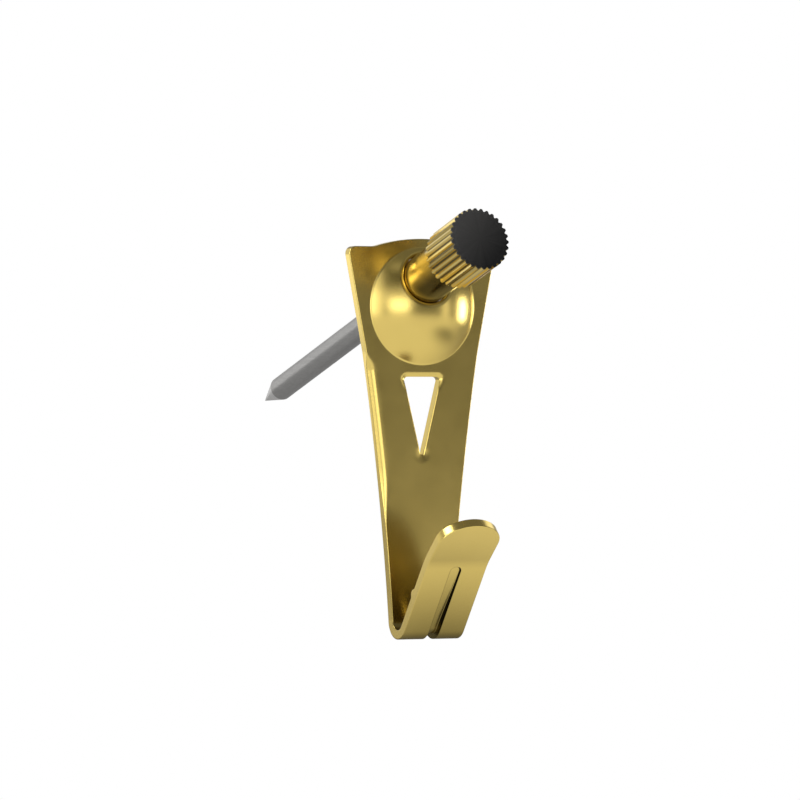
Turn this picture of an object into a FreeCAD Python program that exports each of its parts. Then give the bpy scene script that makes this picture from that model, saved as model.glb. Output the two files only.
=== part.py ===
"""Picture hook: a stamped brass-finish strip, a hardened steel nail and its knurled brass head.

Frame, millimetres: +Z up, the wall is the plane Y = 0 and the front looks along -Y.
X = 0 is the middle plane. The nail's axis meets the wall plane at the origin.
"""
import math
import os

import FreeCAD
import Part

Vec = FreeCAD.Vector

# Strip: one stamping, flat at the back
sheet = 0.72                 # thickness of the strip
shoulder_height = 2.87       # top shoulders, above the origin
crown_rise = 0.60            # middle of the top edge, above the shoulders
crown_radius = 13.4          # curve of that raised middle
top_width = 12.44            # across the shoulders
corner_radius = 0.55         # outer corners of the shoulders
shoulder_blend = 1.2         # hollow curve between shoulder and crown
waist_drop = 5.05            # where the sides change from straight to curved, below the origin
waist_width = 9.36           # across the strip there
side_sag = 0.22              # how hollow the curved sides are
edge_round = 0.55            # rolled front edge of the lower strip, left side

# Domed boss that the nail passes through
boss_radius = 4.35           # at the front face of the strip
boss_height = 1.45           # above the front face
boss_drop = 1.55             # centre of the boss, below the origin
boss_foot = 0.30             # hollow fillet round the foot
hole_round = 0.36            # rounding of the nail hole's front edge

# Triangular cut-out under the boss
window_drop = 6.84           # its top edge, below the origin
window_width = 3.10
window_height = 5.80
window_tip = 0.24            # width of the blunt lower tip
window_corner = 0.28
window_roll = 0.42           # rounding of the top edge towards the front
dent_radius = 0.75           # press mark under the tip
dent_depth = 0.14

# Hook: bend, tongue and flared tip
bend_drop = 24.93            # centre of the bend, below the origin
bend_inner = 0.75            # inner radius of the bend
tongue_width = 5.00
tongue_lean = 36.5           # degrees from upright
stem_length = 5.90           # straight tongue from bend to flare
flare_lean = 47.0            # lean of the tip
flare_radius = 5.0           # bend between tongue and tip, outer side
tip_length = 3.75            # from flare to the end of the tip
tip_round = 1.97             # length of the rounded end

# Stiffening groove, pressed from the outside of tongue and bend
groove_width = 0.90
groove_depth = 0.40          # at the bend
groove_depth_top = 0.16      # at its upper end
groove_top = 6.10            # end on the tongue, from the bend
groove_wrap = 25.0           # degrees past the lowest point of the bend
rib_width = 1.50             # the same groove seen from inside
rib_rise = 0.26
rib_rise_top = 0.10

# Small nub on the left inner edge of the tongue
nub_place = 3.12             # its middle, from the bend
nub_length = 0.84
nub_height = 0.30
nub_width = 0.42

# Nail
nail_angle = 18.3            # slope into the wall, degrees below level
shank_diameter = 1.83
shank_reach = 24.45          # from the wall plane to the foot of the point
point_length = 2.90
tang_diameter = 1.40         # reduced end, pressed into the head
tang_length = 7.00

# Knurled head
neck_diameter = 3.74
neck_clearance = 0.06        # neck in the nail hole, all round
neck_start = 0.45            # inner end of the neck, from the wall plane along the nail
knurl_start = 6.15           # foot of the knurled barrel, along the nail
knurl_length = 4.24
knurl_diameter = 4.74
knurl_depth = 0.17
knurl_teeth = 30
knurl_crest = 0.20           # crest and root flats, as parts of the pitch
knurl_root = 0.24
head_chamfer = 0.15

same_place = 1e-3            # two places nearer than this are one


def arc(start, middle, end):
    return Part.Arc(start, middle, end).toShape()


def line(start, end):
    return Part.makeLine(start, end)


def face_of(edges):
    return Part.Face(Part.Wire(edges))


def front_view(x, z):
    return Vec(x, 0, z)


def side_view(point):
    return Vec(0, point[0], point[1])


nail_tilt = FreeCAD.Rotation(Vec(1, 0, 0), 90 - nail_angle)


def on_nail(shape):
    """Turns a shape built along +Z so that +Z runs up the nail, out of the wall."""
    placed = shape.copy()
    placed.Placement = FreeCAD.Placement(Vec(0, 0, 0), nail_tilt)
    return placed


def edges_where(shape, test):
    return [edge for edge in shape.Edges if test(edge)]


def upper_strip():
    """Straight-sided top with raised crown, down to the waist."""
    half_top = top_width / 2
    half_waist = waist_width / 2
    crown_top = shoulder_height + crown_rise
    crown_half = math.sqrt(crown_radius**2 - (crown_radius - crown_rise)**2)
    right_foot = front_view(crown_half, shoulder_height)
    left_foot = front_view(-crown_half, shoulder_height)
    right_corner = front_view(half_top, shoulder_height)
    left_corner = front_view(-half_top, shoulder_height)
    right_waist = front_view(half_waist, -waist_drop)
    left_waist = front_view(-half_waist, -waist_drop)
    outline = face_of([
        line(right_waist, right_corner),
        line(right_corner, right_foot),
        arc(right_foot, front_view(0, crown_top), left_foot),
        line(left_foot, left_corner),
        line(left_corner, left_waist),
        line(left_waist, right_waist),
    ])
    solid = outline.extrude(Vec(0, -sheet, 0))

    def corner_at(half_width):
        def test(edge):
            middle = edge.CenterOfMass
            at_corner = abs(abs(middle.x) - half_width) < same_place
            return at_corner and abs(middle.z - shoulder_height) < same_place and edge.Length < sheet * 1.01
        return test

    solid = solid.makeFillet(corner_radius, edges_where(solid, corner_at(half_top)))
    return solid.makeFillet(shoulder_blend, edges_where(solid, corner_at(crown_half)))


def lower_strip():
    """Hollow-sided strip from the waist to the bend, with a rolled front edge on its left."""
    half_waist = waist_width / 2
    half_tongue = tongue_width / 2
    middle_half = (half_waist + half_tongue) / 2 - side_sag
    middle_drop = (waist_drop + bend_drop) / 2
    right_waist = front_view(half_waist, -waist_drop)
    left_waist = front_view(-half_waist, -waist_drop)
    right_bend = front_view(half_tongue, -bend_drop)
    left_bend = front_view(-half_tongue, -bend_drop)
    outline = face_of([
        line(left_waist, right_waist),
        arc(right_waist, front_view(middle_half, -middle_drop), right_bend),
        line(right_bend, left_bend),
        arc(left_bend, front_view(-middle_half, -middle_drop), left_waist),
    ])
    solid = outline.extrude(Vec(0, -sheet, 0))

    def left_front(edge):
        middle = edge.CenterOfMass
        is_long = edge.Length > (bend_drop - waist_drop) * 0.9
        return is_long and middle.x < 0 and abs(middle.y + sheet) < same_place

    return solid.makeFillet(edge_round, edges_where(solid, left_front))


def polar(centre, radius, degrees):
    """A point of the side view, (Y, Z), at an angle from the front, turning downwards."""
    turn = math.radians(degrees)
    return (centre[0] - radius * math.cos(turn), centre[1] - radius * math.sin(turn))


def along(point, lean, distance):
    """A point further up a tongue that leans forward by the given angle."""
    turn = math.radians(lean)
    return (point[0] - distance * math.sin(turn), point[1] + distance * math.cos(turn))


bend_centre = (-sheet - bend_inner, -bend_drop)


def hook_line(offset):
    """Side-view points of the hook at an offset from its inner face, bend to tip.

    The outer face lies one sheet thickness further out than the inner face.
    """
    bend_radius = bend_inner + offset
    stem_foot = polar(bend_centre, bend_radius, tongue_lean)
    stem_head = along(stem_foot, tongue_lean, stem_length)
    flare_foot = polar(bend_centre, bend_inner + sheet + flare_radius, tongue_lean)
    flare_centre = along(flare_foot, tongue_lean, stem_length)
    flare_turn = flare_radius + sheet - offset
    flare_middle = polar(flare_centre, -flare_turn, (tongue_lean + flare_lean) / 2)
    flare_end = polar(flare_centre, -flare_turn, flare_lean)
    return {
        "back": polar(bend_centre, bend_radius, 180),
        "low": polar(bend_centre, bend_radius, (180 + tongue_lean) / 2),
        "stem_foot": stem_foot,
        "stem_head": stem_head,
        "flare_middle": flare_middle,
        "flare_end": flare_end,
        "tip": along(flare_end, flare_lean, tip_length),
    }


def hook_solid():
    """Bend, leaning tongue and flared tip, drawn from the side and trimmed to the rounded end."""
    inner = {name: side_view(point) for name, point in hook_line(0).items()}
    outer = {name: side_view(point) for name, point in hook_line(sheet).items()}
    profile = face_of([
        line(inner["back"], outer["back"]),
        arc(outer["back"], outer["low"], outer["stem_foot"]),
        line(outer["stem_foot"], outer["stem_head"]),
        arc(outer["stem_head"], outer["flare_middle"], outer["flare_end"]),
        line(outer["flare_end"], outer["tip"]),
        line(outer["tip"], inner["tip"]),
        line(inner["tip"], inner["flare_end"]),
        arc(inner["flare_end"], inner["flare_middle"], inner["stem_head"]),
        line(inner["stem_head"], inner["stem_foot"]),
        arc(inner["stem_foot"], inner["low"], inner["back"]),
    ])
    solid = profile.extrude(Vec(tongue_width, 0, 0))
    solid.translate(Vec(-tongue_width / 2, 0, 0))

    trim = tip_trim()
    flare = FreeCAD.Rotation(Vec(1, 0, 0), flare_lean)
    trim.Placement = FreeCAD.Placement(inner["tip"], flare)
    return solid.cut(trim)


def tip_trim():
    """What the rounded end leaves over, with the end of the tip at the origin and the tip along +Z."""
    half = tongue_width / 2
    spare = sheet
    reach = sheet * 3
    ellipse = Part.Ellipse(Vec(0, 0, 0), max(half, tip_round), min(half, tip_round))
    quarter = math.pi / 2
    if half >= tip_round:
        curve = Part.ArcOfEllipse(ellipse, 0, math.pi).toShape()
    else:
        curve = Part.ArcOfEllipse(ellipse, -quarter, quarter).toShape()
        curve.rotate(Vec(0, 0, 0), Vec(0, 0, 1), 90)
    curve.rotate(Vec(0, 0, 0), Vec(1, 0, 0), 90)
    curve.translate(Vec(0, 0, -tip_round))
    right = Vec(half, 0, -tip_round)
    left = Vec(-half, 0, -tip_round)
    right_out = Vec(half + spare, 0, -tip_round)
    left_out = Vec(-half - spare, 0, -tip_round)
    right_up = Vec(half + spare, 0, spare)
    left_up = Vec(-half - spare, 0, spare)
    outline = face_of([
        curve,
        line(left, left_out),
        line(left_out, left_up),
        line(left_up, right_up),
        line(right_up, right_out),
        line(right_out, right),
    ])
    outline.translate(Vec(0, -reach, 0))
    return outline.extrude(Vec(0, 2 * reach, 0))


def band(inside, inside_top, outside, width, top_distance, wrap):
    """A strip that follows tongue and bend between two offsets, rounded at its upper end.

    The inside offset changes from the bend to the upper end.
    """
    near = hook_line(inside)
    far = hook_line(outside)
    lowest = 90
    end_angle = lowest + wrap
    middle_angle = (tongue_lean + end_angle) / 2
    near_radius = bend_inner + inside
    far_radius = bend_inner + outside
    near_top = along(hook_line(inside_top)["stem_foot"], tongue_lean, top_distance - width / 2)
    far_top = along(far["stem_foot"], tongue_lean, top_distance - width / 2)
    near_end = side_view(polar(bend_centre, near_radius, end_angle))
    far_end = side_view(polar(bend_centre, far_radius, end_angle))
    near_middle = side_view(polar(bend_centre, near_radius, middle_angle))
    far_middle = side_view(polar(bend_centre, far_radius, middle_angle))
    profile = face_of([
        line(side_view(near_top), side_view(near["stem_foot"])),
        arc(side_view(near["stem_foot"]), near_middle, near_end),
        line(near_end, far_end),
        arc(far_end, far_middle, side_view(far["stem_foot"])),
        line(side_view(far["stem_foot"]), side_view(far_top)),
        line(side_view(far_top), side_view(near_top)),
    ])
    solid = profile.extrude(Vec(width, 0, 0))
    solid.translate(Vec(-width / 2, 0, 0))
    across = side_view(far_top) - side_view(near_top)
    end = Part.makeCylinder(width / 2, across.Length, side_view(near_top), across)
    return solid.fuse(end).removeSplitter()


def nub():
    """Low round nub across the left inner edge of the tongue."""
    radius = (nub_length**2 / 4 + nub_height**2) / (2 * nub_height)
    sunk = hook_line(radius - nub_height)["stem_foot"]
    place = along(sunk, tongue_lean, nub_place)
    return Part.makeCylinder(radius, nub_width, Vec(-tongue_width / 2, *place), Vec(1, 0, 0))


def boss_cap():
    """Outer form of the boss, with its sphere's centre and radius."""
    radius = (boss_radius**2 + boss_height**2) / (2 * boss_height)
    centre = Vec(0, -sheet - boss_height + radius, -boss_drop)
    ball = Part.makeSphere(radius, centre)
    span = 2 * boss_radius
    corner = Vec(-boss_radius, -sheet - boss_height, -boss_drop - boss_radius)
    front = Part.makeBox(span, boss_height + sheet / 2, span, corner)
    return ball.common(front), centre, radius


def window_cut():
    """Triangular opening with a blunt tip and a rolled top edge."""
    half = window_width / 2
    half_tip = window_tip / 2
    top = -window_drop
    tip = -window_drop - window_height
    corners = [
        front_view(-half, top),
        front_view(half, top),
        front_view(half_tip, tip),
        front_view(-half_tip, tip),
    ]
    triangle = face_of([line(corners[i - 1], corners[i]) for i in range(len(corners))])
    spare = sheet
    triangle.translate(Vec(0, spare, 0))
    opening = triangle.extrude(Vec(0, -sheet - 2 * spare, 0))

    def top_corner(edge):
        middle = edge.CenterOfMass
        return abs(abs(middle.x) - half) < same_place and abs(middle.z - top) < same_place

    opening = opening.makeFillet(window_corner, edges_where(opening, top_corner))
    inset = window_roll * (1 - math.sqrt(0.5))
    edge_point = side_view((-sheet, top))
    roll_front = side_view((-sheet, top + window_roll))
    roll_middle = side_view((-sheet + inset, top + inset))
    roll_under = side_view((-sheet + window_roll, top))
    roll = face_of([
        line(edge_point, roll_front),
        arc(roll_front, roll_middle, roll_under),
        line(roll_under, edge_point),
    ])
    roll_width = window_width - 2 * window_corner
    roll = roll.extrude(Vec(roll_width, 0, 0))
    roll.translate(Vec(-roll_width / 2, 0, 0))
    return opening.fuse(roll)


def dent_cut():
    """Shallow press mark under the tip of the opening."""
    drop = window_drop + window_height
    centre = Vec(0, -sheet + dent_depth - dent_radius, -drop)
    return Part.makeSphere(dent_radius, centre)


def hook_strip():
    hole_radius = neck_diameter / 2 + neck_clearance
    cap, boss_centre, sphere_radius = boss_cap()
    plate = upper_strip().fuse(lower_strip()).removeSplitter()
    plate = plate.fuse(cap).removeSplitter().Solids[0]

    def boss_edge(edge):
        on_front = abs(edge.BoundBox.YMin + sheet) < same_place and abs(edge.BoundBox.YMax + sheet) < same_place
        is_round = isinstance(edge.Curve, Part.Circle)
        return on_front and is_round and abs(edge.Curve.Radius - boss_radius) < same_place

    plate = plate.makeFillet(boss_foot, edges_where(plate, boss_edge))
    hollow = Part.makeSphere(sphere_radius - sheet, boss_centre)
    span = 2 * boss_radius
    in_front = Part.makeBox(span, span, span, Vec(-span / 2, -span, -boss_drop - span / 2))
    plate = plate.cut(hollow.common(in_front))
    plate = plate.cut(on_nail(Part.makeCylinder(hole_radius, sheet + boss_height + span)))

    nail_axis = nail_tilt.multVec(Vec(0, 0, 1))

    def hole_edge(edge):
        place = edge.valueAt((edge.FirstParameter + edge.LastParameter) / 2)
        on_boss = abs((place - boss_centre).Length - sphere_radius) < same_place
        return on_boss and abs(place.cross(nail_axis).Length - hole_radius) < same_place

    plate = plate.makeFillet(hole_round, edges_where(plate, hole_edge))
    plate = plate.cut(window_cut()).cut(dent_cut())

    hook = hook_solid()
    rib_top = groove_top + (rib_width - groove_width) / 2
    rib = band(-rib_rise, -rib_rise_top, sheet / 2, rib_width, rib_top, groove_wrap)
    floor, floor_top = sheet - groove_depth, sheet - groove_depth_top
    groove = band(floor, floor_top, 2 * sheet, groove_width, groove_top, groove_wrap)
    hook = hook.fuse(rib).cut(groove).fuse(nub())
    return plate.fuse(hook).removeSplitter()


def nail():
    """Hardened nail: conical point, round shank and reduced tang for the head."""
    shank_radius = shank_diameter / 2
    point = Part.makeCone(0, shank_radius, point_length, Vec(0, 0, -shank_reach - point_length))
    shank = Part.makeCylinder(shank_radius, shank_reach + neck_start, Vec(0, 0, -shank_reach))
    tang = Part.makeCylinder(tang_diameter / 2, tang_length, Vec(0, 0, neck_start))
    return on_nail(point.fuse(shank).fuse(tang).removeSplitter())


def knurled_barrel():
    """Barrel with straight teeth: crest flat, flank, root flat, flank, repeated round the axis."""
    crest_radius = knurl_diameter / 2
    root_radius = crest_radius - knurl_depth
    pitch = 2 * math.pi / knurl_teeth
    flank = (1 - knurl_crest - knurl_root) / 2
    steps = [
        (0, crest_radius),
        (knurl_crest, crest_radius),
        (knurl_crest + flank, root_radius),
        (knurl_crest + flank + knurl_root, root_radius),
    ]
    corners = []
    for tooth in range(knurl_teeth):
        for share, radius in steps:
            angle = (tooth + share) * pitch
            corners.append(Vec(radius * math.cos(angle), radius * math.sin(angle), knurl_start))
    outline = Part.Face(Part.makePolygon(corners + corners[:1]))
    return outline.extrude(Vec(0, 0, knurl_length))


def nail_head():
    """Turned brass head: smooth neck through the boss, knurled barrel, blind bore for the tang."""
    neck = Part.makeCylinder(neck_diameter / 2, knurl_start - neck_start, Vec(0, 0, neck_start))

    def neck_end(edge):
        return abs(edge.CenterOfMass.z - neck_start) < same_place and edge.Closed

    neck = neck.makeChamfer(head_chamfer, edges_where(neck, neck_end))
    bore = Part.makeCylinder(tang_diameter / 2, tang_length, Vec(0, 0, neck_start))
    return on_nail(neck.fuse(knurled_barrel()).cut(bore).removeSplitter())


os.makedirs("parts", exist_ok=True)
hook_strip().exportStep("parts/hook_strip.step")
nail().exportStep("parts/nail.step")
nail_head().exportStep("parts/nail_head.step")
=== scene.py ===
import math

import bmesh
import bpy
from mathutils import Matrix, Vector


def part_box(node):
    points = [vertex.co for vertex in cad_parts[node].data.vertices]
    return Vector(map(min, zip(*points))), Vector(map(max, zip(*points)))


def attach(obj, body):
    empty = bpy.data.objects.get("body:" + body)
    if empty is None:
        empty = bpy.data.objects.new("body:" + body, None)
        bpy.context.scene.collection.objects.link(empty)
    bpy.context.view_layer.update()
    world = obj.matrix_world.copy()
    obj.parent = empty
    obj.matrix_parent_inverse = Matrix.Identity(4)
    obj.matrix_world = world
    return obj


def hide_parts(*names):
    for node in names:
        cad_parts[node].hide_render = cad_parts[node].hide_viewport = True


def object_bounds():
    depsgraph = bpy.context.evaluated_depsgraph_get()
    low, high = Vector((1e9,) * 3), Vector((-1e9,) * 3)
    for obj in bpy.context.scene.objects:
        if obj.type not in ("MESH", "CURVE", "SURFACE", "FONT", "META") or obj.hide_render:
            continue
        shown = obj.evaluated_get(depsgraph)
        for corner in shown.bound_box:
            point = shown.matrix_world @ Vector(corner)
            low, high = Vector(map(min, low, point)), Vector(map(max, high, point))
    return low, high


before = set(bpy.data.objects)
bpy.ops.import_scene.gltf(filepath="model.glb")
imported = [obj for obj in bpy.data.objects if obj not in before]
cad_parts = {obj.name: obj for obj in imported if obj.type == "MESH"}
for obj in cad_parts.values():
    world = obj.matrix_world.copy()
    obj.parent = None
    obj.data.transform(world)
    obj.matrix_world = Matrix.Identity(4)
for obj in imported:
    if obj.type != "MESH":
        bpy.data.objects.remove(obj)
cad_low, cad_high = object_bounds()


# Hook strip
# One blank of brass-plated sheet steel, stamped in a press and bent once into a J.
# The boss, nail hole, triangular opening, groove and rolled edge are all pressed into that sheet.
MM = 0.001
SHEET = 0.72
SHOULDER_HEIGHT = 2.87
CROWN_RADIUS = 13.4
CROWN_BLEND = 0.055
TOP_HALF = 6.22
CORNER_RADIUS = 0.55
WAIST_DROP = 5.05
WAIST_HALF = 4.68
SIDE_SAG = 0.22
TONGUE_HALF = 2.5
BEND_DROP = 24.93
BEND_INNER = 0.75
TONGUE_LEAN = 36.5
STEM_LENGTH = 5.90
FLARE_LEAN = 47.0
FLARE_RADIUS = 5.0
TIP_LENGTH = 3.75
TIP_ROUND = 1.97

BOSS_RADIUS = 4.35
BOSS_HEIGHT = 1.45
BOSS_DROP = 1.55
BOSS_FOOT = 0.30
HOLLOW_EDGE = 0.12
NAIL_ANGLE = math.radians(18.3)
HOLE_RADIUS = 1.885
HOLE_TURN = 0.42
HOLE_DROP = 0.30

WINDOW_DROP = 6.84
WINDOW_HALF = 1.55
WINDOW_HEIGHT = 5.80
WINDOW_TIP_HALF = 0.12
WINDOW_CORNER = 0.28
WINDOW_ROLL = 0.40
WINDOW_ROLL_DEPTH = 0.11
WINDOW_ROLL_FADE = 1.3
WINDOW_EDGE = 0.07
DENT_RADIUS = 0.70
DENT_DEPTH = 0.06

GROOVE_HALF = 0.45
GROOVE_WALL = 0.07
# The next three set the painted shade along the groove's steep wall
GROOVE_SHADE_WIDTH = 0.03
GROOVE_SHADE_AT_BEND = 0.45
GROOVE_SHADE_FADE = 0.9
GROOVE_TOP = 6.10
GROOVE_DEPTH = 0.42
GROOVE_DEPTH_TOP = 0.16
GROOVE_WRAP = 25.0
RIB_HALF = 0.75
RIB_TOP = 0.27
RIB_SHARE = 0.6
NUB_PLACE = 3.12
NUB_HALF_LENGTH = 0.42
NUB_HEIGHT = 0.22
NUB_WIDTH = 0.36
# The next three set the painted shade deep inside the bend
BEND_SHADE = 0.5
BEND_SHADE_GROWS = (5.0, 1.0)
BEND_SHADE_FADES = (1.0, 4.0)

BORDER = 0.50
ROLL_WIDTH = 0.80
ROLL_DEPTH = 0.40
ROLL_GROWS = (4.9, 6.4)
ROLL_FADES = (13.5, 19.0)
FRONT_EDGE = 0.06
BACK_EDGE = 0.04
FAR_INSIDE = 9.0

crown_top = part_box("hook_strip")[1].z / MM
bend_middle = BEND_INNER + SHEET / 2
flare_middle = FLARE_RADIUS + SHEET / 2
s_bend = BEND_DROP
s_stem = s_bend + bend_middle * math.radians(180 - TONGUE_LEAN)
s_flare = s_stem + STEM_LENGTH
s_tip = s_flare + flare_middle * math.radians(FLARE_LEAN - TONGUE_LEAN)
s_end = s_tip + TIP_LENGTH
s_round = s_end - TIP_ROUND
window_end = WINDOW_DROP + WINDOW_HEIGHT
groove_low = s_bend + bend_middle * math.radians(90 - GROOVE_WRAP)
groove_high = s_stem + GROOVE_TOP - GROOVE_HALF


def smooth(low, high, value):
    share = min(1.0, max(0.0, (value - low) / (high - low)))
    return share * share * (3 - 2 * share)


def mix(a, b, share):
    return a + (b - a) * share


def polar(centre, radius, degrees):
    turn = math.radians(degrees)
    return (centre[0] - radius * math.cos(turn), centre[1] - radius * math.sin(turn))


def along(point, lean, distance):
    turn = math.radians(lean)
    return (point[0] - distance * math.sin(turn), point[1] + distance * math.cos(turn))


def place(x, s, depth):
    """A point of the bent strip: across it, along the flat blank, and below its front face."""
    centre = (-SHEET - BEND_INNER, -BEND_DROP)
    if s <= s_bend:
        return Vector((x, -SHEET + depth, -s))
    if s <= s_stem:
        angle = 180 - math.degrees((s - s_bend) / bend_middle)
        side = polar(centre, BEND_INNER + depth, angle)
    elif s <= s_flare:
        stem_foot = polar(centre, BEND_INNER + depth, TONGUE_LEAN)
        side = along(stem_foot, TONGUE_LEAN, s - s_stem)
    else:
        flare_foot = polar(centre, BEND_INNER + SHEET + FLARE_RADIUS, TONGUE_LEAN)
        flare_centre = along(flare_foot, TONGUE_LEAN, STEM_LENGTH)
        angle = TONGUE_LEAN + math.degrees((min(s, s_tip) - s_flare) / flare_middle)
        side = polar(flare_centre, -(FLARE_RADIUS + SHEET - depth), angle)
        side = along(side, FLARE_LEAN, max(s - s_tip, 0.0))
    return Vector((x, side[0], side[1]))


def half_width(s):
    if s <= WAIST_DROP:
        share = (WAIST_DROP - s) / (WAIST_DROP + SHOULDER_HEIGHT)
        return mix(WAIST_HALF, TOP_HALF, share)
    if s >= s_bend:
        return TONGUE_HALF
    share = (s - WAIST_DROP) / (s_bend - WAIST_DROP)
    return mix(WAIST_HALF, TONGUE_HALF, share) - SIDE_SAG * 4 * share * (1 - share)


def crown_height(x):
    arch = crown_top - CROWN_RADIUS + math.sqrt(CROWN_RADIUS**2 - x * x)
    near = max(CROWN_BLEND - abs(arch - SHOULDER_HEIGHT), 0) / CROWN_BLEND
    return max(arch, SHOULDER_HEIGHT) + near * near * CROWN_BLEND / 4


def quarter_round(radius, inset):
    if inset >= radius:
        return 0.0
    return radius - math.sqrt(radius**2 - (radius - max(inset, 0.0))**2)


sphere_radius = (BOSS_RADIUS**2 + BOSS_HEIGHT**2) / (2 * BOSS_HEIGHT)
sphere_depth = sphere_radius - BOSS_HEIGHT
foot_rim = math.sqrt((sphere_radius + BOSS_FOOT)**2 - (sphere_depth + BOSS_FOOT)**2)
foot_seat = foot_rim * sphere_radius / (sphere_radius + BOSS_FOOT)
hollow_radius = sphere_radius - SHEET
hollow_rim = math.sqrt(hollow_radius**2 - (sphere_depth - SHEET)**2)


def boss_rise(x, s):
    distance = math.hypot(x, s - BOSS_DROP)
    if distance >= foot_rim:
        return 0.0
    if distance >= foot_seat:
        return BOSS_FOOT - math.sqrt(BOSS_FOOT**2 - (foot_rim - distance)**2)
    return math.sqrt(sphere_radius**2 - distance**2) - sphere_depth


def boss_hollow(x, s):
    distance = math.hypot(x, s - BOSS_DROP)
    if distance >= hollow_rim:
        return 0.0
    return math.sqrt(hollow_radius**2 - distance**2) - sphere_depth + SHEET


def middle_half(s):
    """Half the width that the middle columns span: the opening first, then the groove."""
    share = (s - WINDOW_DROP) / WINDOW_HEIGHT
    if share <= 1:
        return mix(WINDOW_HALF, WINDOW_TIP_HALF, max(share, 0.0))
    return mix(WINDOW_TIP_HALF, GROOVE_HALF, smooth(1, 2, share))


def groove_press(x, s):
    """Depth of the groove at its middle, and how far a point lies from that middle line."""
    aside = math.hypot(x, max(s - groove_high, groove_low - s, 0.0))
    return mix(GROOVE_DEPTH, GROOVE_DEPTH_TOP, smooth(s_stem, groove_high, s)), aside


def rolled_edge(inset, s):
    """Depth of the rolled left edge, which grows below the waist and fades out above the bend."""
    size = smooth(*ROLL_GROWS, s) * (1 - smooth(*ROLL_FADES, s))
    return ROLL_DEPTH * size * quarter_round(1.0, inset / max(ROLL_WIDTH * size, BACK_EDGE))


def window_roll(x, s):
    """Rounding of the opening's edge, broad along the top and fading down the sides."""
    above, beside = WINDOW_DROP - s, abs(x) - middle_half(s)
    past_corner = (max(above + WINDOW_CORNER, 0.0), max(beside + WINDOW_CORNER, 0.0))
    outside = math.hypot(*past_corner) - WINDOW_CORNER
    fade = 1 - smooth(0.0, WINDOW_ROLL_FADE, -above)
    roll = max(1 - max(outside, 0.0) / WINDOW_ROLL, 0.0)**2 * WINDOW_ROLL_DEPTH * fade
    return max(roll, quarter_round(WINDOW_EDGE, outside))


def front_depth(x, s, inset):
    depth = quarter_round(FRONT_EDGE, inset)
    if x < 0 and s < s_bend:
        depth = max(depth, rolled_edge(half_width(s) + x, s))
    depth -= boss_rise(x, s)
    if s <= window_end:
        depth += window_roll(x, s)
    depth += DENT_DEPTH * (1 - smooth(0.0, DENT_RADIUS, math.hypot(x, s - window_end)))
    nub = (s - s_stem - NUB_PLACE) / NUB_HALF_LENGTH
    if x < 0 and abs(nub) < 1:
        depth -= NUB_HEIGHT * (1 - nub * nub) * (1 - smooth(0.0, NUB_WIDTH, inset))
    press, aside = groove_press(x, s)
    return depth - RIB_SHARE * press * (1 - smooth(RIB_TOP, RIB_HALF, aside))


def back_depth(x, s, inset):
    press, aside = groove_press(x, s)
    groove = press * (1 - smooth(GROOVE_HALF - GROOVE_WALL, GROOVE_HALF, aside))
    return SHEET - quarter_round(BACK_EDGE, inset) - boss_hollow(x, s) - groove


def groove_painted_shade(x, s):
    """Painted shade along the groove's steep wall, weaker towards the bend."""
    aside = groove_press(x, s)[1]
    from_wall = abs(aside - GROOVE_HALF + GROOVE_WALL / 2) - GROOVE_WALL / 2
    shade_share = mix(GROOVE_SHADE_AT_BEND, 1.0, smooth(s_stem - GROOVE_SHADE_FADE, s_stem + GROOVE_SHADE_FADE, s))
    return shade_share * (1 - smooth(0.0, GROOVE_SHADE_WIDTH, from_wall))


def bend_painted_shade(s):
    """Painted shade deep inside the bend."""
    grown = smooth(s_bend - BEND_SHADE_GROWS[0], s_bend - BEND_SHADE_GROWS[1], s)
    faded = smooth(s_stem + BEND_SHADE_FADES[0], s_stem + BEND_SHADE_FADES[1], s)
    return BEND_SHADE * grown * (1 - faded)


blank_points, front_points, back_points, blank_faces = [], [], [], []
# Painted shade for each point: inside the bend on the front, along the groove's wall at the back
front_shades, back_shades = [], []


def mark(x, s, inset=FAR_INSIDE, back=None):
    """One point of the blank, with its places on the front and the back."""
    back_x, back_s = back or (x, s)
    blank_points.append((x, s))
    front_points.append(place(x, s, front_depth(x, s, inset)))
    back_points.append(place(back_x, back_s, back_depth(back_x, back_s, inset)))
    # Painted shade at this point: inside the bend on the front, along the groove's wall at the back
    front_shades.append(bend_painted_shade(s))
    back_shades.append(groove_painted_shade(back_x, back_s))
    return len(blank_points) - 1


def add_face(*corners):
    """Adds a face of the blank, less corners that fall together, unless one is in the opening."""
    kept = list(dict.fromkeys(corners))
    if None not in kept and len(kept) > 2:
        blank_faces.append(kept)


def steps(start, end, count):
    return [mix(start, end, (i + 1) / count) for i in range(count)]


def stretches(start, *ends):
    """Places from one value to the next, each stretch cut into its own number of steps."""
    places = []
    for end, count in ends:
        places += steps(start, end, count)
        start = end
    return places


# The right half of the blank's outline, from the middle of the crown to the middle of the tip
PATCH_BOTTOM = 6.36
BEND_LEAD = 1.0
NUB_ROOM = 0.6
GROOVE_ROOM = 0.1
TOP_POINTS, CORNER_POINTS, SIDE_POINTS = 44, 10, 46
SIDE_COLUMNS, MIDDLE_COLUMNS = 16, 12
edge_column = SIDE_COLUMNS + MIDDLE_COLUMNS
side_turn = math.atan2(TOP_HALF - WAIST_HALF, SHOULDER_HEIGHT + WAIST_DROP)
corner_s = CORNER_RADIUS - SHOULDER_HEIGHT
corner_x = half_width(corner_s) - CORNER_RADIUS / math.cos(side_turn)

half_outline = [(x, -crown_height(x)) for x in [0.0] + steps(0.0, corner_x, TOP_POINTS)]
for turn in steps(math.pi / 2, -side_turn, CORNER_POINTS):
    corner_point = (corner_x + CORNER_RADIUS * math.cos(turn),
                    corner_s - CORNER_RADIUS * math.sin(turn))
    half_outline.append(corner_point)
half_outline += [(half_width(s), s) for s in steps(corner_point[1], PATCH_BOTTOM, SIDE_POINTS)]
patch_corner = len(half_outline) - 1

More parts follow.
